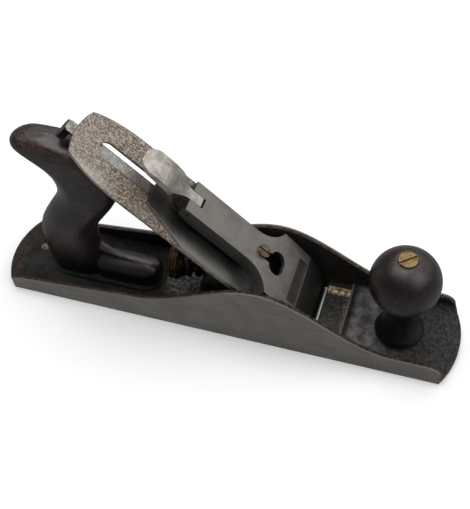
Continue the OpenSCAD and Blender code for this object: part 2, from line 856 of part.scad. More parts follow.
module lever_cap() {
    low = cap_iron_t + hump + 0.25;
    step = 2;
    screw_slot = cap_screw_r + 0.5;
    lobe_s = cap_screw_s - 11.6;
    lobe_r = 5.3;
    notch_s = cap_top - 8.8;
    color([0.5, 0.49, 0.46])
        slope()
            difference() {
                intersection() {
                    side_view(2 * cap_w)
                        polygon(concat([for (s = [cap_edge:step:crown_s]) [s, cap_face_at(s)]],
                            [[cap_top, cap_face], [cap_top, wall_low + 1.5], [cap_top - 8, wall_low],
                                [40, wall_low], [cap_edge + 7, low], [cap_edge, low]]));
                    linear_extrude(2 * cap_face)
                        cap_outline(0);
                }
                intersection() {
                    side_view(2 * cap_w)
                        polygon(concat([for (s = [22:step:crown_s - 2]) [s, cap_face_at(s) - cap_shell]],
                            [[crown_s, cap_face - cap_shell], [notch_s + 1, cap_face - cap_shell],
                                [notch_s + 1, 0], [22, 0]]));
                    linear_extrude(2 * cap_face)
                        cap_outline(cap_shell);
                }
                side_view(panel_w)
                    polygon(concat([for (i = [0:4]) let (s = panel_s + panel_len * i / 4)
                        [s, cap_face_at(s) - panel_d]],
                        [[panel_s + panel_len, cap_face + over], [panel_s, cap_face + over]]));
                translate([cap_screw_s, 0, 0])
                    cylinder(h = 30, r = screw_slot);
                translate([lobe_s, -screw_slot, 0])
                    cube([cap_screw_s - lobe_s, 2 * screw_slot, 30]);
                translate([lobe_s - lobe_r, lobe_r - keyhole_w / 2, 0])
                    cube([2 * lobe_r, keyhole_w - 2 * lobe_r, 30]);
                for (y = [-1, 1])
                    translate([lobe_s, y * (keyhole_w / 2 - lobe_r), 0])
                        cylinder(h = 30, r = lobe_r);
                translate([notch_s, -tongue_w / 2 - 0.25, 0])
                    cube([20, tongue_w + 0.5, 30]);
                translate([cam_s, 0, cam_h])
                    rotate([90, 0, 0])
                        cylinder(h = 40, r = cam_pin_r, center = true);
            }
    color([0.5, 0.49, 0.46])
        slope()
            translate([spring_s, 0, boss_low])
                difference() {
                    cylinder(h = cap_face - boss_low - 1.6, r = 4.5);
                    translate([0, 0, -over])
                        cylinder(h = 6, r = spring_rivet_r);
                }
}

module cap_spring() {
    low = cap_iron_t + seat_gap + 0.1;
    foot_s = spring_s + 16;
    end_s = cam_s + 6.5;
    color([0.3, 0.3, 0.32])
        slope()
            difference() {
                side_view(spring_w)
                    polygon([[spring_s - 6, boss_low - spring_t], [spring_s + 5, boss_low - spring_t],
                        [foot_s, low], [end_s, low], [end_s, low + spring_t], [foot_s + 0.4, low + spring_t],
                        [spring_s + 5.4, boss_low], [spring_s - 6, boss_low]]);
                translate([spring_s, 0, 0])
                    cylinder(h = 20, r = spring_rivet_r);
            }
}

module spring_rivet() {
    color([0.4, 0.39, 0.37])
        slope() {
            translate([spring_s, 0, boss_low - spring_t - 0.2])
                cylinder(h = 5, r = spring_rivet_r);
            translate([spring_s, 0, boss_low - spring_t - 1.2])
                cylinder(h = 1.2, r = 2.8);
        }
}

module lever_cap_screw() {
    head = cap_face + seat_gap;
    color([0.4, 0.33, 0.28])
        slope()
            translate([cap_screw_s, 0, 0])
                difference() {
                    union() {
                        translate([0, 0, -12])
                            cylinder(h = 12 + head + 0.1, r = cap_screw_r);
                        translate([0, 0, head])
                            cylinder(h = 2, r = cap_screw_r + 1.1);
                    }
                    translate([-6, -0.6, head + 1])
                        cube([12, 1.2, 2]);
                }
}

// Half width of the cam lever at a place up the slope
function cam_half(s) =
    s < thumb_end - 8 ? tongue_w / 2 + (thumb_w - tongue_w) / 2 * smooth((s - 116.5) / 11)
    : thumb_w / 2 * sqrt(max(0, 1 - pow((s - thumb_end + 8) / 8, 2)));

module cam_lever() {
    lobe_r = 8.2;
    lobe_drop = 1.3;
    nose_r = 5.5;
    lobe_turn = 170 + asin(lobe_drop / lobe_r);
    nose_turn = asin((cap_face - cam_h) / nose_r);
    sides = [for (s = [cam_s - lobe_r - over:1:thumb_end]) [s, cam_half(s)]];
    last = len(sides) - 1;
    upper = curve([[cam_s, cap_face], [cam_s + 6, cap_face], [124, 17.4], [134, 18.9], [144, 18.8],
        [thumb_end, 17.6]], 4);
    under = curve([[thumb_end, 16.2], [142, 15.4], [130, 14.2], [123.6, 11.8]], 4);
    lobe = [for (i = [0:18]) let (a = -10 - lobe_turn * i / 18)
        [cam_s + lobe_r * cos(a), cam_h - lobe_drop + lobe_r * sin(a)]];
    nose = [for (i = [0:4]) let (a = 180 - nose_turn * i / 4)
        [cam_s + nose_r * cos(a), cam_h + nose_r * sin(a)]];
    color([0.6, 0.57, 0.52])
        slope()
            difference() {
                intersection() {
                    linear_extrude(3 * cam_h)
                        polygon(concat(sides, [for (i = [last:-1:0]) [sides[i][0], -sides[i][1]]]));
                    side_view(2 * cap_w)
                        polygon(concat(upper, under, lobe, nose));
                }
                translate([cam_s, 0, cam_h])
                    rotate([90, 0, 0])
                        cylinder(h = 2 * cap_w, r = cam_pin_r + run, center = true);
            }
}

module cam_pin() {
    color([0.45, 0.43, 0.4])
        slope()
            translate([cam_s, 0, cam_h])
                rotate([90, 0, 0])
                    cylinder(h = stem_w + 0.4, r = cam_pin_r, center = true);
}

// Sections of the grip from its foot up: height, rear, front and half thickness, the first three
// measured from the heel end of its foot at the seat
grip_rows = [[0, 0.6, 38, 10.6], [10, -1, 38, 11.3], [24, -1, 37, 11.5], [34, 0, 37, 11.5],
    [44, 3.6, 40.6, 11.5], [57, 12, 50, 11.3], [68, 19.6, 57.4, 11.2], [78, 22.4, 60, 11.2],
    [88, 20.6, 60.6, 11.2], [96, 14.6, 59.6, 11.3], [102, 7.2, 56.6, 11.2], [107, 1.6, 51, 10.8],
    [110.6, 2.6, 43.6, 9.8], [113.2, 6.6, 34.6, 8], [115, 13.4, 25.6, 5.4]];

// Sections of the toe of the grip, in the same terms
toe_rows = [[0, 30, 76, 10.2], [7, 30, 77, 10.4], [11, 30, 76, 8], [13.4, 30, 73.5, 4.6],
    [14.6, 30, 69, 2.4], [15.4, 30, 56, 2.4], [17.4, 30, 46.5, 3], [20.2, 30, 41, 3.4], [23.6, 30, 36.4, 3.2]];

// One level section with rounded ends, as points
function ring(row, scale_z, n) = let (mid = (row[1] + row[2]) / 2, long = (row[2] - row[1]) / 2,
    wide = row[3] * grip_t / 23, cap = min(long, wide * 1.25)) [
    for (k = [0:n - 1]) let (a = 360 * k / n, side = cos(a) > 0 ? 1 : -1)
        [grip_rear + mid + side * (long - cap) * (abs(cos(a)) < 0.01 ? 0 : 1) + cap * cos(a),
            wide * sin(a), row[0] * scale_z]
];

// A skin through level sections, with flat ends
module section_skin(rows, fine, n) {
    scale_z = grip_h / 115;
    list = curve(rows, fine);
    levels = len(list);
    points = [for (row = list) each ring(row, scale_z, n)];
    sides = [for (i = [0:levels - 2], k = [0:n - 1]) let (a = i * n, b = (i + 1) * n, next = (k + 1) % n)
        each [[a + k, b + k, b + next], [a + k, b + next, a + next]]];
    polyhedron(points, concat([[for (k = [0:n - 1]) k]],
        [[for (k = [n - 1:-1:0]) (levels - 1) * n + k]], sides));
}

// Line of the rod, from the seat up through the grip
module on_rod() {
    translate([rod_x, 0, pad_h])
        rotate([0, rod_lean, 0])
            children();
}

module tote() {
    color([0.2, 0.13, 0.11])
        difference() {
            translate([0, 0, pad_h]) {
                section_skin(grip_rows, 2, 28);
                section_skin(toe_rows, 2, 20);
            }
            on_rod() {
                translate([0, 0, -5])
                    cylinder(h = 140, r = rod_r + 0.3);
                translate([0, 0, grip_nut_up])
                    cylinder(h = 40, r = brass_r + 0.15);
            }
        }
}

module tote_rod() {
    color([0.4, 0.39, 0.37])
        on_rod()
            translate([0, 0, rod_low])
                cylinder(h = grip_nut_up - rod_low + 1.6, r = rod_r);
}

module tote_nut() {
    color([0.7, 0.58, 0.3])
        on_rod()
            translate([0, 0, grip_nut_up])
                difference() {
                    cylinder(h = brass_h, r = brass_r);
                    translate([0, 0, -over])
                        cylinder(h = 2 + over, r = rod_r + run);
                    translate([-10, -0.7, brass_h - 1.2])
                        cube([20, 1.4, 2]);
                }
}

// Half of the knob's turned profile, radius and height above its seat
module knob_view() {
    top_r = brass_r + nut_rim_w;
    mid = ball_h - pad_h;
    low_a = -52;
    top_a = acos(top_r / ball_r);
    neck = curve([[knob_foot_r, 0], [knob_foot_r + 0.4, 1.6], [knob_foot_r - 0.6, 3.6], [10.8, 8],
        [9, 14], [8.6, 19.5], [9.6, 25], [ball_r * cos(low_a), mid + ball_r * sin(low_a)]], 3);
    ball = [for (a = [low_a + 5:5:top_a]) [ball_r * cos(a), mid + ball_r * sin(a)]];
    polygon(concat([[0, 0]], neck, ball, [[top_r, mid + ball_r * sin(top_a)], [0, mid + ball_r * sin(top_a)]]));
}

module knob() {
    color([0.2, 0.13, 0.11])
        translate([knob_x, 0, pad_h])
            difference() {
                rotate_extrude($fn = 96)
                    knob_view();
                translate([0, 0, -over])
                    cylinder(h = 80, r = rod_r + 0.3);
                translate([0, 0, knob_top - pad_h - brass_h + 0.8])
                    cylinder(h = 20, r = brass_r + 0.1);
            }
}

module knob_rod() {
    color([0.4, 0.39, 0.37])
        translate([knob_x, 0, 2])
            cylinder(h = knob_top - brass_h - 0.4, r = rod_r);
}

module knob_nut() {
    color([0.75, 0.62, 0.33])
        translate([knob_x, 0, knob_top - brass_h + 0.8])
            difference() {
                cylinder(h = brass_h, r = brass_r);
                translate([0, 0, -over])
                    cylinder(h = 2 + over, r = rod_r + run);
                rotate([0, 0, 39])
                    translate([-10, -0.6, brass_h - 1.2])
                        cube([20, 1.2, 2]);
            }
}

body_casting();
frog();
frog_screws();
frog_washers();
frog_set_screw();
frog_clip();
frog_clip_screw();
adjusting_stud();
adjusting_nut();
yoke();
yoke_pin();
lateral_lever();
lateral_rivet();
lateral_roller();
cutting_iron();
cap_iron();
cap_iron_screw();
lever_cap();
cam_lever();
cam_pin();
cap_spring();
spring_rivet();
lever_cap_screw();
tote();
tote_rod();
tote_nut();
knob();
knob_rod();
knob_nut();
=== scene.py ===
import math

import bmesh
import bpy
from mathutils import Matrix, Vector


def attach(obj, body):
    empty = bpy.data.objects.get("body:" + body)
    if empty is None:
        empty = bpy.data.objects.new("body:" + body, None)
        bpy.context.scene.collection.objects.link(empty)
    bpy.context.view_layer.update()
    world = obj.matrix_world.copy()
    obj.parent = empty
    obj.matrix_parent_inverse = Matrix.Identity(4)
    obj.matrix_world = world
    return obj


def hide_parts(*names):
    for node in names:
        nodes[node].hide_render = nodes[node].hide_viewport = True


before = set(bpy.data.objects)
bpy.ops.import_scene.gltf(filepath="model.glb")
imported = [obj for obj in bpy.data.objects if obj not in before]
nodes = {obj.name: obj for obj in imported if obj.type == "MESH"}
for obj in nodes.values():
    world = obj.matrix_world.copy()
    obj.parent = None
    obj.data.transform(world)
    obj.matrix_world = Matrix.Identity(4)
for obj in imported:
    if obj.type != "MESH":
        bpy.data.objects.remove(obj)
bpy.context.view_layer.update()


# Sole: one iron casting with raised cheeks. Sole and cheeks are ground bright and worn to
# a dull grey with long scratches, and the inside is black japanning over the rough cast
# skin, worn brown on the cheek tops and rusty round the heel.
MM = 0.001
SEAM_GAP = 0.02 * MM
HALF_WIDTH = 27.0
CHEEK_INSIDE = 24.0
# Along the sole: where each band starts, is full, ebbs and ends.
MOUTH_BED = (61.5, 62.2, 76.2, 76.8)
RIB = (75.9, 76.3, 78.6, 79.2)
# The flaked spot is a long one, so its place is taken after a stretch.
FLAKE_STRETCH = (0.7, 1.0, 0.5)
FLAKED_SPOT = (-17.0, 1.0, 2.2)
CHIPPED_SPOT = (-130.1, 6.0, 4.5)


def tone(red, green, blue):
    """A colour read off as 0 to 255 steps, as the light values that a shader wants."""
    steps = [c / 255 for c in (red, green, blue)]
    return [c / 12.92 if c <= 0.04045 else ((c + 0.055) / 1.055) ** 2.4 for c in steps] + [1.0]


def fill(tree, made, inputs):
    """Joins a node's inputs to sockets, or sets them to values."""
    for key, value in inputs.items():
        if isinstance(value, bpy.types.NodeSocket):
            tree.links.new(value, made.inputs[key])
        else:
            made.inputs[key].default_value = value


def put(tree, kind, inputs=None, **settings):
    """Adds a node, sets it, and joins or fills its inputs."""
    made = tree.nodes.new("ShaderNode" + kind)
    for key, value in settings.items():
        setattr(made, key, value)
    fill(tree, made, inputs or {})
    return made


def new_finish(name, metallic, roughness, specular=0.5):
    """A fresh finish with its even values set on the shader itself."""
    finish = bpy.data.materials.new(name)
    finish.use_nodes = True
    tree = finish.node_tree
    shader = tree.nodes["Principled BSDF"]
    fill(tree, shader, {"Metallic": metallic, "Roughness": roughness,
                        "Specular IOR Level": specular})
    return finish, tree, shader


def sums(tree, what, first, second=0.5, third=0.5):
    """One step of arithmetic, called as the Math node calls it."""
    return put(tree, "Math", {0: first, 1: second, 2: third}, operation=what).outputs[0]


def unsigned(tree, value):
    return sums(tree, "ABSOLUTE", value)


def times(tree, *values):
    """The product of all the values."""
    product = values[0]
    for value in values[1:]:
        product = sums(tree, "MULTIPLY", product, value)
    return product


def most(tree, *values):
    """The highest of all the values."""
    highest = values[0]
    for value in values[1:]:
        highest = sums(tree, "MAXIMUM", highest, value)
    return highest


def step_up(tree, value, low, high):
    """0 under low, 1 over high, smooth between. With high under low it runs the other way."""
    rising = high > low
    made = put(tree, "MapRange",
               {"Value": value, "From Min": min(low, high), "From Max": max(low, high),
                "To Min": 0.0 if rising else 1.0, "To Max": 1.0 if rising else 0.0},
               interpolation_type="SMOOTHSTEP")
    return made.outputs["Result"]


def between(tree, value, start, full, ebb, end):
    """1 from full to ebb, 0 before start and beyond end."""
    return times(tree, step_up(tree, value, start, full), step_up(tree, value, end, ebb))


def ramp(tree, value, low, high):
    """Low where the value is 0, high where it is 1."""
    return sums(tree, "MULTIPLY_ADD", value, high - low, low)


def mix_value(tree, share, first, second):
    return put(tree, "Mix", {0: share, 2: first, 3: second}, data_type="FLOAT").outputs[0]


def mix_colour(tree, share, first, second):
    return put(tree, "Mix", {0: share, 6: first, 7: second}, data_type="RGBA").outputs[2]


def shade(tree, share, low, high):
    """From one tone to another, both in 0 to 255 steps."""
    return mix_colour(tree, share, tone(*low), tone(*high))


def over(tree, colour, paint, *shares):
    """Lays a paint over a colour, as thick as the product of its shares. The paint is a
    colour of the tree, or a tone in 0 to 255 steps."""
    laid_on = paint if isinstance(paint, bpy.types.NodeSocket) else tone(*paint)
    return mix_colour(tree, times(tree, *shares), colour, laid_on)


def grain(tree, where, scale, detail, rough, low=0.35, high=0.65):
    """Cloudy noise, stretched to run from 0 to 1."""
    cloud = put(tree, "TexNoise",
                {"Vector": where, "Scale": scale, "Detail": detail, "Roughness": rough})
    return step_up(tree, cloud.outputs["Fac"], low, high)


def stretched(tree, where, x, y, z):
    return put(tree, "VectorMath", {0: where, 1: (x, y, z)}, operation="MULTIPLY").outputs[0]


def measure(tree, what, first, second):
    """One number out of two vectors, called as the Vector Math node calls it."""
    return put(tree, "VectorMath", {0: first, 1: second}, operation=what).outputs["Value"]


def place_mm(tree):
    """The place on the plane in millimetres."""
    return stretched(tree, put(tree, "TexCoord").outputs["Object"], 1000, 1000, 1000)


def facing(tree):
    """The way that the surface faces."""
    return put(tree, "TexCoord").outputs["Normal"]


def parts(tree, vector):
    return put(tree, "SeparateXYZ", {0: vector}).outputs


def raise_skin(tree, shader, height, strength, depth):
    """Bump from a height of 0 to 1, depth in millimetres."""
    bump = put(tree, "Bump", {"Height": height, "Strength": strength, "Distance": depth * MM})
    fill(tree, shader, {"Normal": bump.outputs["Normal"]})


def coat(tree, shader, colour, roughness, height, strength, depth):
    """Joins a colour and a roughness to the shader, and raises its skin."""
    fill(tree, shader, {"Base Color": colour, "Roughness": roughness})
    raise_skin(tree, shader, height, strength, depth)


def dress(node, finish):
    made = nodes[node]
    made.data.materials.clear()
    made.data.materials.append(finish)


def work_over(node, name, kind, **settings):
    """Adds a modifier to a CAD node."""
    made = nodes[node].modifiers.new(name, kind)
    for key, value in settings.items():
        setattr(made, key, value)


def soften(node, width, angle=32, one_face=False):
    """Closes the seams of a CAD node's mesh and rounds its sharp edges a little."""
    work_over(node, "weld", "WELD", merge_threshold=SEAM_GAP)
    if one_face:
        work_over(node, "one_face", "DECIMATE", decimate_type="DISSOLVE",
                  angle_limit=math.radians(0.5))
    work_over(node, "rounded_edges", "BEVEL", width=width * MM, segments=2,
              limit_method="ANGLE", angle_limit=math.radians(angle), miter_outer="MITER_ARC")


casting, tree, shader = new_finish("casting", metallic=0.0, roughness=0.5, specular=0.35)
where = place_mm(tree)
px, py, pz = parts(tree, where)
nx, ny, nz = parts(tree, facing(tree))
across = unsigned(tree, py)

# Ground iron on the outside of the cheeks and under the sole.
ground_side = times(tree, step_up(tree, across, HALF_WIDTH - 0.5, HALF_WIDTH - 0.2),
                    step_up(tree, unsigned(tree, ny), 0.55, 0.8))
ground_sole = step_up(tree, nz, -0.6, -0.9)
ground = most(tree, ground_side, ground_sole)
scratches = grain(tree, stretched(tree, where, 0.03, 1.3, 1.3),
                  scale=1.2, detail=6, rough=0.85, low=0.36, high=0.64)
patches = grain(tree, where, scale=0.07, detail=5, rough=0.6, low=0.38, high=0.66)
specks = grain(tree, where, scale=1.3, detail=3, rough=0.7, low=0.62, high=0.74)
towards_toe = step_up(tree, px, -60, 130)
bright_iron = shade(tree, scratches, (140, 137, 133), (190, 187, 182))
bright_iron = over(tree, bright_iron, (138, 133, 128), patches, 0.4)
bright_iron = over(tree, bright_iron, (96, 90, 84), specks, 0.5)
bright_iron = over(tree, bright_iron, (128, 122, 118), towards_toe, 0.4)

# Black japanning inside, rubbed thin on the bed of the toe under a painted sheen that fades
# towards the toe, flaked and chipped in spots.
cloudy = grain(tree, where, scale=0.09, detail=6, rough=0.65, low=0.4, high=0.62)
rough_skin = grain(tree, where, scale=0.7, detail=6, rough=0.75, low=0.3, high=0.7)
worn_japan = grain(tree, where, scale=0.3, detail=7, rough=0.75, low=0.52, high=0.68)
japan = shade(tree, cloudy, (18, 17, 17), (38, 37, 36))
japan = over(tree, japan, (70, 66, 62), worn_japan, 0.45)
toe_bed = times(tree, step_up(tree, px, 76, 84), step_up(tree, pz, 10, 8))
wear_and_sheen_grain = grain(tree, where, scale=0.16, detail=6, rough=0.6, low=0.35, high=0.65)
pits = grain(tree, where, scale=0.6, detail=6, rough=0.8, low=0.53, high=0.6)
toe_grain = grain(tree, where, scale=0.5, detail=6, rough=0.8, low=0.42, high=0.6)
toe_skin = shade(tree, toe_grain, (34, 33, 33), (78, 76, 75))
# The bed of the toe is lighter both as worn japanning and as a painted sheen, and the painted
# sheen fades darker towards the toe.
worn_and_sheen_toe_bed = shade(tree, wear_and_sheen_grain, (62, 60, 60), (122, 119, 117))
worn_and_sheen_toe_bed = over(tree, worn_and_sheen_toe_bed, (20, 19, 19), pits, 0.35)
worn_and_sheen_toe_bed = over(tree, worn_and_sheen_toe_bed, toe_skin, step_up(tree, px, 92, 118))
japan = over(tree, japan, worn_and_sheen_toe_bed, toe_bed, 0.85)
from_flake = measure(tree, "DISTANCE", stretched(tree, where, *FLAKE_STRETCH), FLAKED_SPOT)
flakes = grain(tree, where, scale=0.42, detail=5, rough=0.8, low=0.45, high=0.52)
japan = over(tree, japan, (128, 125, 122), step_up(tree, from_flake, 16, 7), flakes, 0.8)
from_chip = measure(tree, "DISTANCE", where, CHIPPED_SPOT)
chips = grain(tree, where, scale=0.5, detail=5, rough=0.8, low=0.4, high=0.52)
japan = over(tree, japan, (140, 130, 108), step_up(tree, from_chip, 3.4, 2.2), chips, 0.8)

# Rust round the heel, and rough spots on the way there.
heel = times(tree, step_up(tree, px, -128, -141), step_up(tree, pz, 4.6, 6.0))
rust_cloud = grain(tree, where, scale=0.16, detail=8, rough=0.75, low=0.44, high=0.56)
rust_grain = grain(tree, where, scale=0.8, detail=5, rough=0.7)
rusty = shade(tree, rust_grain, (46, 32, 26), (84, 60, 44))
japan = over(tree, japan, rusty, heel, most(tree, rust_cloud, 0.12))
spots = grain(tree, where, scale=0.9, detail=3, rough=0.7, low=0.6, high=0.66)
japan = over(tree, japan, (74, 72, 70), spots, step_up(tree, px, -60, -110), 0.5)

# The sunk bed between mouth and rib is greyer, lighter towards the near side with a painted
# sheen, and tan with old dust in its corners.
recess = times(tree, between(tree, px, *MOUTH_BED), step_up(tree, pz, 5.2, 4.2))
tan_spots = grain(tree, where, scale=0.5, detail=7, rough=0.75, low=0.52, high=0.66)
bed_mark = grain(tree, where, scale=0.7, detail=3, rough=0.7, low=0.5, high=0.6)
dust = grain(tree, where, scale=0.35, detail=6, rough=0.8, low=0.4, high=0.54)
bed_edges = most(tree, step_up(tree, py, 17.5, 20.5), step_up(tree, px, 72.5, 75.5))
foot_line = times(tree, step_up(tree, across, CHEEK_INSIDE - 1.8, CHEEK_INSIDE + 0.4),
                  step_up(tree, pz, 8.4, 6.0), step_up(tree, px, 60, 66))
japan = over(tree, japan, (48, 48, 46), recess, 0.4)
# Painted sheen, lighter towards the near side.
japan = over(tree, japan, (84, 84, 80), recess, step_up(tree, py, 10, -18), 0.6)
japan = over(tree, japan, (112, 111, 105), recess, bed_mark, 0.35)
japan = over(tree, japan, (190, 172, 134), recess, bed_edges, tan_spots, 0.9)
japan = over(tree, japan, (236, 212, 170), recess, step_up(tree, py, 16.5, 19.5), dust)
japan = over(tree, japan, (150, 134, 102), foot_line, tan_spots, 0.5)

# Bare iron, brown with age, on the cheek tops, the ends and the top of the rib.
cheek_top = times(tree, step_up(tree, across, CHEEK_INSIDE - 0.3, CHEEK_INSIDE + 0.1),
                  step_up(tree, pz, 9.3, 10.5), step_up(tree, nz, 0.1, 0.45))
outer_line = step_up(tree, across, HALF_WIDTH - 1.5, HALF_WIDTH - 0.7)
end_edge = times(tree, step_up(tree, unsigned(tree, nx), 0.3, 0.6),
                 step_up(tree, unsigned(tree, px), 136, 140))
rib_line = times(tree, step_up(tree, pz, 8.6, 9.3), between(tree, px, *RIB),
                 step_up(tree, across, CHEEK_INSIDE - 0.1, CHEEK_INSIDE - 0.6))
brown = grain(tree, where, scale=0.5, detail=6, rough=0.75, low=0.42, high=0.6)
worn_top = shade(tree, brown, (24, 20, 19), (84, 73, 66))
worn_top = over(tree, worn_top, (150, 138, 128), outer_line, 0.7)
bare = most(tree, cheek_top, times(tree, end_edge, 0.6), times(tree, rib_line, 0.8))

colour = over(tree, japan, worn_top, bare)
colour = over(tree, colour, (120, 117, 112), rib_line, 0.5)
colour = over(tree, colour, bright_iron, ground)
metal = most(tree, times(tree, ground, 0.8), times(tree, bare, 0.35))
fill(tree, shader, {"Metallic": metal})
sheen = mix_value(tree, ground, ramp(tree, cloudy, 0.3, 0.5), ramp(tree, scratches, 0.42, 0.58))
roughness = most(tree, sheen, times(tree, heel, rust_cloud, 0.75))
height = mix_value(tree, ground, rough_skin, times(tree, scratches, 0.25))
coat(tree, shader, colour, roughness, height, strength=0.9, depth=0.6)
dress("body_casting", casting)
soften("body_casting", 0.45)


# Frog: the smaller casting that holds the cutter at its pitch, japanned black all over and
# worn brown in spots. It sits on the seat behind the mouth.
def black_paint(name, high=(32, 31, 30)):
    """Japanning over a cast skin, from black to the high tone."""
    finish, tree, shader = new_finish(name, metallic=0.0, roughness=0.4, specular=0.35)
    where = place_mm(tree)
    cloudy = grain(tree, where, scale=0.14, detail=6, rough=0.7, low=0.38, high=0.64)
    skin = grain(tree, where, scale=0.9, detail=6, rough=0.75, low=0.3, high=0.7)
    worn = grain(tree, where, scale=0.35, detail=7, rough=0.7, low=0.58, high=0.7)
    colour = shade(tree, cloudy, (14, 13, 13), high)
    colour = over(tree, colour, (72, 62, 54), worn, 0.4)
    coat(tree, shader, colour, ramp(tree, cloudy, 0.33, 0.58), skin, strength=0.5, depth=0.18)
    return finish


dress("frog", black_paint("frog_black"))
soften("frog", 0.35)


# Screws of the frog: two clamping screws on flat washers, the long screw that shifts the
# frog, and the forked clip with its small screw. All are plain steel gone dark with age.
def dark_steel(name, low, high, rough=0.42, rust=0.45):
    """Steel from the low tone to the high one, with brown rust in spots."""
    finish, tree, shader = new_finish(name, metallic=0.9, roughness=rough)
    where = place_mm(tree)
    cloudy = grain(tree, where, scale=0.35, detail=6, rough=0.7, low=0.36, high=0.64)
    fine = grain(tree, where, scale=2.4, detail=5, rough=0.7, low=0.35, high=0.65)
    rusting = grain(tree, where, scale=0.6, detail=7, rough=0.75, low=0.55, high=0.7)
    colour = shade(tree, cloudy, low, high)
    colour = over(tree, colour, (92, 66, 50), rusting, rust)
    roughness = ramp(tree, fine, rough - 0.1, rough + 0.1)
    coat(tree, shader, colour, roughness, fine, strength=0.35, depth=0.06)
    return finish


screw_steel = dark_steel("screw_steel", (52, 48, 45), (96, 90, 84))
for node in ("frog_screws", "frog_washers", "frog_set_screw", "frog_clip", "frog_clip_screw"):
    dress(node, screw_steel)
    soften(node, 0.15)


# Stud and depth nut: a threaded steel stud in the frog's back, and the turned brass nut that
# runs on it, with a milled rim for the fingers and a groove for the yoke. The brass has
# gone brown, with grime in spots.
THREAD_PITCH = 1.058
NUT_AXIS_HEIGHT = 29.8
# The rim beyond this radius is milled into teeth, each cut to these depths in turn.
MILLED_FROM = 11.3
NUT_TEETH = 60
TOOTH_CUTS = (0.0, 0.14, 0.28, 0.14)
# Radius and place along the sole, all the way round the nut's section.
NUT_PROFILE = [
    (3.45, -31.1), (5.4, -29.5), (7.2, -28.2), (7.6, -28.6), (8.3, -30.6), (8.9, -31.2),
    (10.8, -31.2), (11.4, -30.8), (11.5, -30.4), (11.5, -29.7), (11.0, -29.4), (11.0, -29.0),
    (11.5, -28.7), (11.5, -27.8), (11.0, -27.5), (11.0, -27.1), (11.5, -26.8), (11.5, -25.9),
    (11.4, -25.6), (10.8, -25.2), (9.6, -23.3), (8.3, -21.4), (5.8, -21.4), (5.4, -21.0),
    (5.4, -15.0), (5.8, -14.6), (7.4, -14.6), (7.8, -14.2), (7.8, -12.8), (7.4, -12.4),
    (3.45, -12.4)]

nut_mesh = bmesh.new()
steps = NUT_TEETH * len(TOOTH_CUTS)
rings = []
for step in range(steps):
    angle = 2 * math.pi * step / steps
    ring = []
    for radius, along in NUT_PROFILE:
        if radius > MILLED_FROM:
            radius -= TOOTH_CUTS[step % len(TOOTH_CUTS)]
        corner = (along, radius * math.cos(angle), NUT_AXIS_HEIGHT + radius * math.sin(angle))
        ring.append(nut_mesh.verts.new(Vector(corner) * MM))
    rings.append(ring)
for here, beyond in zip(rings, rings[1:] + rings[:1]):
    for i in range(len(NUT_PROFILE)):
        j = (i + 1) % len(NUT_PROFILE)
        nut_mesh.faces.new((here[i], here[j], beyond[j], beyond[i]))
bmesh.ops.recalc_face_normals(nut_mesh, faces=nut_mesh.faces)


def place_piece(built, name):
    """Turns a built mesh into a piece of the scene."""
    mesh = bpy.data.meshes.new(name)
    built.to_mesh(mesh)
    built.free()
    piece = bpy.data.objects.new(name, mesh)
    bpy.context.scene.collection.objects.link(piece)
    return piece


def brass(name, low, high, grime, rough):
    """Old brass from the low tone to the high one, with brown grime in spots."""
    finish, tree, shader = new_finish(name, metallic=1.0, roughness=rough)
    where = place_mm(tree)
    cloudy = grain(tree, where, scale=0.3, detail=6, rough=0.7, low=0.36, high=0.64)
    fine = grain(tree, where, scale=3.0, detail=5, rough=0.7, low=0.35, high=0.65)
    spots = grain(tree, where, scale=0.8, detail=6, rough=0.75, low=0.56, high=0.68)
    colour = shade(tree, cloudy, low, high)
    colour = over(tree, colour, (74, 58, 38), spots, grime)
    roughness = ramp(tree, fine, rough - 0.08, rough + 0.1)
    coat(tree, shader, colour, roughness, fine, strength=0.3, depth=0.05)
    return finish


nut_piece = place_piece(nut_mesh, "milled_brass_nut")
nut_piece.data.materials.append(
    brass("brown_brass", (46, 40, 30), (86, 73, 50), grime=0.7, rough=0.42))
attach(nut_piece, "nut_body")
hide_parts("adjusting_nut")

stud_steel, tree, shader = new_finish("stud_steel", metallic=0.9, roughness=0.38)
turns = times(tree, parts(tree, place_mm(tree))["X"], 2 * math.pi / THREAD_PITCH)
thread = ramp(tree, sums(tree, "SINE", turns), 0.5, 1.0)
fill(tree, shader, {"Base Color": shade(tree, thread, (60, 55, 50), (120, 114, 106))})
raise_skin(tree, shader, thread, strength=0.8, depth=0.25)
dress("adjusting_stud", stud_steel)
soften("adjusting_stud", 0.2)


# Yoke: the small forked casting that rocks on a pin through the frog's ears. Its prongs
# ride in the nut's groove and its finger pushes the cutter.
dress("yoke", black_paint("yoke_black", (44, 42, 40)))
soften("yoke", 0.35)
dress("yoke_pin", screw_steel)
soften("yoke_pin", 0.15)


# Lateral lever: a steel strip riveted to the frog's face, bent at its top into a thumb
# piece whose near flank and up-slope side are painted dark as shade. A small disc on its
# foot runs in the cutter's slot.
SLOPE = math.sqrt(0.5)  # the sine and cosine of the cutter's 45 degrees
UP_SLOPE = (-SLOPE, 0.0, SLOPE)
OUT_OF_SLOPE = (SLOPE, 0.0, SLOPE)
# Heights of a painted shadow of the cam lever across the strip's middle.
CAM_SHADOW_HEIGHTS = (68, 76, 97, 108)

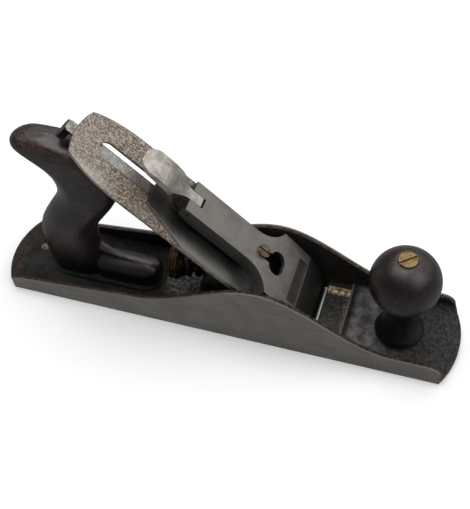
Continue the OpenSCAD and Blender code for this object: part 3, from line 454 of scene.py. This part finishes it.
strip_steel, tree, shader = new_finish("strip_steel", metallic=0.85, roughness=0.44)
where = place_mm(tree)
pz = parts(tree, where)["Z"]
looks = facing(tree)
fine = grain(tree, where, scale=1.3, detail=2, rough=0.7, low=0.5, high=0.58)
cloudy = grain(tree, where, scale=0.35, detail=6, rough=0.7, low=0.36, high=0.64)
up_facing = measure(tree, "DOT_PRODUCT", looks, UP_SLOPE)
near_flank = step_up(tree, parts(tree, looks)["Y"], -0.25, -0.5)
thumb_piece = step_up(tree, pz, 86, 92)
painted_shade_sides = most(tree, step_up(tree, up_facing, 0.4, 0.7), near_flank)
colour = shade(tree, cloudy, (160, 156, 151), (196, 192, 187))
colour = over(tree, colour, (84, 76, 70), fine, 0.6)
# Painted shadow of the cam lever.
colour = over(tree, colour, (64, 61, 58), between(tree, pz, *CAM_SHADOW_HEIGHTS), 0.65)
# Painted shade on the thumb piece's near flank and up-slope side.
colour = over(tree, colour, (24, 22, 21), thumb_piece, painted_shade_sides)
coat(tree, shader, colour, ramp(tree, fine, 0.38, 0.53), fine, strength=0.35, depth=0.06)
for node, width in (("lateral_lever", 0.3), ("lateral_rivet", 0.15), ("lateral_roller", 0.15)):
    dress(node, strip_steel)
    soften(node, width)


# Cutter: a strip of tool steel, mottled brown and grey by old rust that was rubbed off
# along its length, and ground bright at its edge.
CUTTER_EDGE = (59.6, 0.0, 0.3)


def on_the_slope(tree):
    """The place as its length up the slope from the cutter's edge, its width and its height
    out of the slope, in millimetres."""
    where = place_mm(tree)
    from_edge = put(tree, "VectorMath", {0: where, 1: CUTTER_EDGE}, operation="SUBTRACT")
    return put(tree, "CombineXYZ",
               {0: measure(tree, "DOT_PRODUCT", from_edge.outputs[0], UP_SLOPE),
                1: parts(tree, where)["Y"],
                2: measure(tree, "DOT_PRODUCT", where, OUT_OF_SLOPE)}).outputs[0]


cutter_steel, tree, shader = new_finish("cutter_steel", metallic=0.75, roughness=0.45)
laid = on_the_slope(tree)
along, py = parts(tree, laid)[:2]
run = stretched(tree, laid, 0.7, 1.0, 1.0)
mottle = grain(tree, run, scale=1.0, detail=3, rough=0.8, low=0.46, high=0.55)
fine_mottle = grain(tree, run, scale=1.5, detail=2, rough=0.7, low=0.5, high=0.58)
streaks = grain(tree, stretched(tree, laid, 0.03, 1.0, 1.0),
                scale=1.6, detail=5, rough=0.7, low=0.35, high=0.65)
clouds = grain(tree, laid, scale=0.05, detail=4, rough=0.6, low=0.4, high=0.62)
shadow_patches = grain(tree, laid, scale=0.12, detail=4, rough=0.6, low=0.3, high=0.6)
rubbed_side = times(tree, step_up(tree, py, -10, -21), step_up(tree, along, 140, 172))
rubbed_top = times(tree, step_up(tree, along, 150, 178), 0.25)
# A painted shadow of the cam lever, broken into patches.
cam_shadow_side = times(tree, step_up(tree, along, 148, 128), step_up(tree, py, -17, -4), shadow_patches)
ground_edge = step_up(tree, along, 12, 5)
colour = shade(tree, mottle, (88, 60, 34), (200, 191, 178))
colour = over(tree, colour, (64, 42, 22), fine_mottle, 0.6)
colour = over(tree, colour, (152, 148, 142), streaks, 0.25)
colour = over(tree, colour, (150, 146, 140), clouds, 0.3)
colour = over(tree, colour, (196, 190, 182), most(tree, rubbed_top, rubbed_side), 0.7)
colour = over(tree, colour, (58, 52, 47), cam_shadow_side, 0.65)
colour = over(tree, colour, (176, 172, 165), ground_edge)
coat(tree, shader, colour, ramp(tree, mottle, 0.55, 0.43), mottle, strength=0.5, depth=0.12)
dress("cutting_iron", cutter_steel)
soften("cutting_iron", 0.25, one_face=True)


# Cap iron: the blued spring steel plate that lies on the cutter, humped at its front edge
# and held by one wide screw from behind.
cap_steel, tree, shader = new_finish("cap_steel", metallic=0.85, roughness=0.36)
laid = on_the_slope(tree)
along, py = parts(tree, laid)[:2]
across = unsigned(tree, py)
brushed = grain(tree, stretched(tree, laid, 0.05, 1.2, 1.0),
                scale=1.5, detail=5, rough=0.7, low=0.35, high=0.65)
clouds = grain(tree, laid, scale=0.07, detail=5, rough=0.65, low=0.38, high=0.64)
# Painted light: highlights along the outer strip and the side edges, shade beside the lever cap
# and on the hump under its nose.
highlight_share = times(tree, step_up(tree, across, 15, 21.5), step_up(tree, along, 50, 92))
side_edge_highlight = step_up(tree, unsigned(tree, parts(tree, facing(tree))["Y"]), 0.2, 0.5)
shade_by_lever_cap = step_up(tree, across, 18, 12)
shaded_hump = step_up(tree, along, 34, 20)
colour = shade(tree, clouds, (92, 91, 90), (122, 120, 118))
colour = over(tree, colour, (132, 128, 124), brushed, 0.3)
# Painted highlight on the outer strip, painted shade beside the lever cap, painted highlight on
# the side edges, painted shade on the hump.
colour = over(tree, colour, (168, 165, 161), highlight_share, 0.6)
colour = over(tree, colour, (44, 43, 42), shade_by_lever_cap, 0.75)
colour = over(tree, colour, (170, 165, 160), side_edge_highlight, 0.6)
colour = over(tree, colour, (34, 33, 33), shaded_hump)
coat(tree, shader, colour, ramp(tree, brushed, 0.32, 0.46), brushed, strength=0.2, depth=0.04)
dress("cap_iron", cap_steel)
soften("cap_iron", 0.25)
dress("cap_iron_screw", screw_steel)
soften("cap_iron_screw", 0.2)


# Lever cap: a cast cap with a satin plated face. It hooks under its screw by the kidney
# hole and presses cap iron and cutter down on the frog.
PANEL_ALONG = (27.9, 28.3, 34.9, 35.3)
PANEL_HALF_WIDTH = 15.5

cap_plate, tree, shader = new_finish("cap_plate", metallic=0.9, roughness=0.42)
laid = on_the_slope(tree)
along, py = parts(tree, laid)[:2]
rubbed = grain(tree, stretched(tree, laid, 0.04, 1.0, 1.0),
               scale=1.6, detail=5, rough=0.7, low=0.35, high=0.65)
clouds = grain(tree, laid, scale=0.06, detail=5, rough=0.6, low=0.38, high=0.64)
specks = grain(tree, laid, scale=1.3, detail=4, rough=0.7, low=0.6, high=0.72)
panel_grain = grain(tree, laid, scale=1.1, detail=5, rough=0.7, low=0.4, high=0.6)
painted_dark_nose = step_up(tree, along, 27.4, 26.4)
upper_face = step_up(tree, measure(tree, "DOT_PRODUCT", facing(tree), OUT_OF_SLOPE), 0.35, 0.75)
panel_width = step_up(tree, unsigned(tree, py), PANEL_HALF_WIDTH + 0.2, PANEL_HALF_WIDTH - 0.2)
panel = times(tree, between(tree, along, *PANEL_ALONG), panel_width)
panel_floor = shade(tree, panel_grain, (44, 40, 38), (84, 77, 70))
plate = shade(tree, clouds, (118, 115, 111), (138, 134, 129))
plate = over(tree, plate, (150, 146, 141), rubbed, 0.3)
plate = over(tree, plate, (104, 96, 88), specks, 0.3)
# The faces that don't look out of the slope are painted darker as shade.
colour = over(tree, tone(88, 87, 86), plate, upper_face)
colour = over(tree, colour, panel_floor, panel, 0.85)
# A painted dark reflection on the curved nose in front of the panel.
colour = over(tree, colour, (66, 65, 64), painted_dark_nose)
coat(tree, shader, colour, ramp(tree, rubbed, 0.38, 0.52), rubbed, strength=0.2, depth=0.04)
dress("lever_cap", cap_plate)
soften("lever_cap", 0.5)
for node in ("cap_spring", "spring_rivet", "cam_pin"):
    dress(node, screw_steel)
    soften(node, 0.12)
dress("lever_cap_screw", dark_steel("cap_screw_steel", (92, 76, 64), (142, 122, 104),
                                    rough=0.4, rust=0.5))
soften("lever_cap_screw", 0.25)


# Cam lever: the small cast lever that locks the cap, plated like it but worn warmer and
# brighter by the thumb.
cam_plate, tree, shader = new_finish("cam_plate", metallic=0.95, roughness=0.28)
where = place_mm(tree)
clouds = grain(tree, where, scale=0.12, detail=6, rough=0.65, low=0.38, high=0.62)
blotches = grain(tree, where, scale=0.28, detail=6, rough=0.7, low=0.52, high=0.7)
fine = grain(tree, where, scale=1.6, detail=5, rough=0.7)
colour = shade(tree, clouds, (166, 159, 150), (204, 199, 192))
colour = over(tree, colour, (132, 114, 98), blotches, 0.5)
coat(tree, shader, colour, ramp(tree, fine, 0.2, 0.34), fine, strength=0.2, depth=0.04)
dress("cam_lever", cam_plate)
soften("cam_lever", 0.5)


# Grip and knob: dark oiled rosewood, the grip sawn from a plank and rounded over, the knob
# turned on a lathe. Each is held down by a long steel rod with a slotted brass nut.
def rosewood(name, stretch, dark_below, light_above, low, high):
    """Oiled wood, painted black as shade near its foot and painted lighter as a highlight near
    its top. The stretch is small along the grain, and the two heights are in millimetres."""
    finish, tree, shader = new_finish(name, metallic=0.0, roughness=0.42)
    where = place_mm(tree)
    pz = parts(tree, where)["Z"]
    run = stretched(tree, where, *stretch)
    bands = grain(tree, run, scale=0.5, detail=5, rough=0.6, low=0.38, high=0.64)
    pores = grain(tree, run, scale=3.2, detail=4, rough=0.7, low=0.56, high=0.68)
    worn = grain(tree, where, scale=0.045, detail=5, rough=0.6, low=0.42, high=0.64)
    scuffs = grain(tree, where, scale=0.4, detail=7, rough=0.8, low=0.54, high=0.66)
    highlight_share = grain(tree, where, scale=0.7, detail=5, rough=0.75, low=0.42, high=0.6)
    clear_of_foot = step_up(tree, pz, dark_below, dark_below + 26)
    near_foot = step_up(tree, pz, dark_below + 14, dark_below)
    near_top = step_up(tree, pz, light_above, light_above + 14)
    top_highlight_wood = shade(tree, times(tree, bands, highlight_share), (46, 36, 36), (100, 80, 78))
    colour = shade(tree, bands, low, high)
    colour = over(tree, colour, (12, 10, 10), pores, 0.6)
    colour = over(tree, colour, [2 * c for c in high], worn, 0.3)
    colour = over(tree, colour, (84, 68, 66), scuffs, clear_of_foot, 0.35)
    # Painted highlight near the top.
    colour = over(tree, colour, top_highlight_wood, near_top, 0.6)
    # Painted shade near the foot.
    colour = over(tree, colour, (8, 7, 7), near_foot)
    skin = sums(tree, "SUBTRACT", bands, times(tree, pores, 0.8))
    coat(tree, shader, colour, ramp(tree, worn, 0.37, 0.27), skin, strength=0.25, depth=0.06)
    return finish


dress("tote", rosewood("grip_wood", stretch=(0.12, 1.0, 0.9), dark_below=12, light_above=98,
                       low=(22, 18, 18), high=(42, 32, 32)))
work_over("tote", "weld", "WELD", merge_threshold=SEAM_GAP)
work_over("tote", "even_skin", "REMESH", mode="VOXEL", voxel_size=0.6 * MM,
          use_smooth_shade=True)
work_over("tote", "rubbed_round", "SMOOTH", factor=0.5, iterations=5)
dress("knob", rosewood("knob_wood", stretch=(1.0, 1.0, 0.16), dark_below=26, light_above=66,
                       low=(12, 8, 8), high=(27, 17, 17)))
soften("knob", 0.4, angle=50)
# The grip's nut is a darker brass than the knob's: partly patina, partly painted shade.
dress("tote_nut", brass("grip_brass_patina_and_shade", (60, 52, 38), (104, 88, 60), grime=0.6, rough=0.44))
dress("knob_nut", brass("knob_brass", (104, 88, 58), (144, 122, 83), grime=0.6, rough=0.44))
for node in ("tote_nut", "knob_nut"):
    soften(node, 0.3)
for node in ("tote_rod", "knob_rod"):
    dress(node, screw_steel)
    soften(node, 0.1)


# Bench: a plain pale floor in a soft room with two wide lamps, seen from above the near
# cheek. The floor holds the plane's soft shadow, and fades to white far off.
WHITE = (1, 1, 1, 1)
FLOOR_REACH = 4
FLOOR_DROP = 0.2 * MM
FLOOR_LIT = (0.3, 0.3, 0.3, 1)
FLOOR_SEEN = (0.93, 0.93, 0.93, 1)
FLOOR_FADE = (0.3, 0.8)
LAMP_AIM = (0, 0, 0.03)
SKY_BRIGHTEST = (0.3, 0.4, 0.866)
SKY_SPREAD = (0.42, 0.88)
SKY_STRENGTH = (0.12, 1.02)
CAMERA_PLACE = (131.7, -275.1, 424.2)
CAMERA_AHEAD = (-0.247, 0.570, -0.784)
CAMERA_RIGHT = (0.949, 0.305, -0.077)

floor_mesh = bmesh.new()
floor_mesh.faces.new([floor_mesh.verts.new((FLOOR_REACH * x, FLOOR_REACH * y, -FLOOR_DROP))
                      for x, y in ((-1, -1), (1, -1), (1, 1), (-1, 1))])
floor = place_piece(floor_mesh, "pale_floor")
floor_finish, tree, shader = new_finish("pale_floor", metallic=0.0, roughness=0.9)
seen = put(tree, "LightPath").outputs["Is Camera Ray"]
metres_off = measure(tree, "DISTANCE", put(tree, "TexCoord").outputs["Object"], (0, 0, 0))
far_glow = times(tree, seen, step_up(tree, metres_off, *FLOOR_FADE))
fill(tree, shader, {"Base Color": mix_colour(tree, seen, FLOOR_LIT, FLOOR_SEEN),
                    "Emission Color": WHITE, "Emission Strength": far_glow})
floor.data.materials.append(floor_finish)


def lamp(name, spot, size, power):
    """A wide square lamp that hangs at a spot and looks at the plane."""
    light = bpy.data.lights.new(name, "AREA")
    light.shape = "SQUARE"
    light.size = size
    light.energy = power
    made = bpy.data.objects.new(name, light)
    made.location = spot
    made.rotation_mode = "QUATERNION"
    made.rotation_quaternion = (Vector(LAMP_AIM) - Vector(spot)).to_track_quat("-Z", "Y")
    bpy.context.scene.collection.objects.link(made)


lamp("overhead", spot=(-0.3, 0.1, 1.5), size=1.4, power=15)
lamp("toe_side", spot=(1.0, -0.3, 1.0), size=1.0, power=5)

world = bpy.data.worlds.new("soft_room")
bpy.context.scene.world = world
world.use_nodes = True
tree = world.node_tree
towards = put(tree, "TexCoord").outputs["Generated"]
to_brightest = measure(tree, "DOT_PRODUCT", towards, SKY_BRIGHTEST)
sky = ramp(tree, step_up(tree, to_brightest, *SKY_SPREAD), *SKY_STRENGTH)
strength = most(tree, sky, put(tree, "LightPath").outputs["Is Camera Ray"])
fill(tree, tree.nodes["Background"], {"Color": WHITE, "Strength": strength})

ahead = Vector(CAMERA_AHEAD).normalized()
right = Vector(CAMERA_RIGHT)
right = (right - ahead * right.dot(ahead)).normalized()
turn = Matrix((right, right.cross(ahead), -ahead)).transposed()
camera_data = bpy.data.cameras.new("camera")
camera_data.sensor_width = 36
camera_data.lens = 58.05
camera_data.shift_x = -0.0077
camera_data.shift_y = 0.0043
camera = bpy.data.objects.new("camera", camera_data)
camera.matrix_world = Matrix.Translation(Vector(CAMERA_PLACE) * MM) @ turn.to_4x4()
bpy.context.scene.collection.objects.link(camera)
bpy.context.scene.camera = camera
bpy.context.scene.view_settings.view_transform = "Standard"
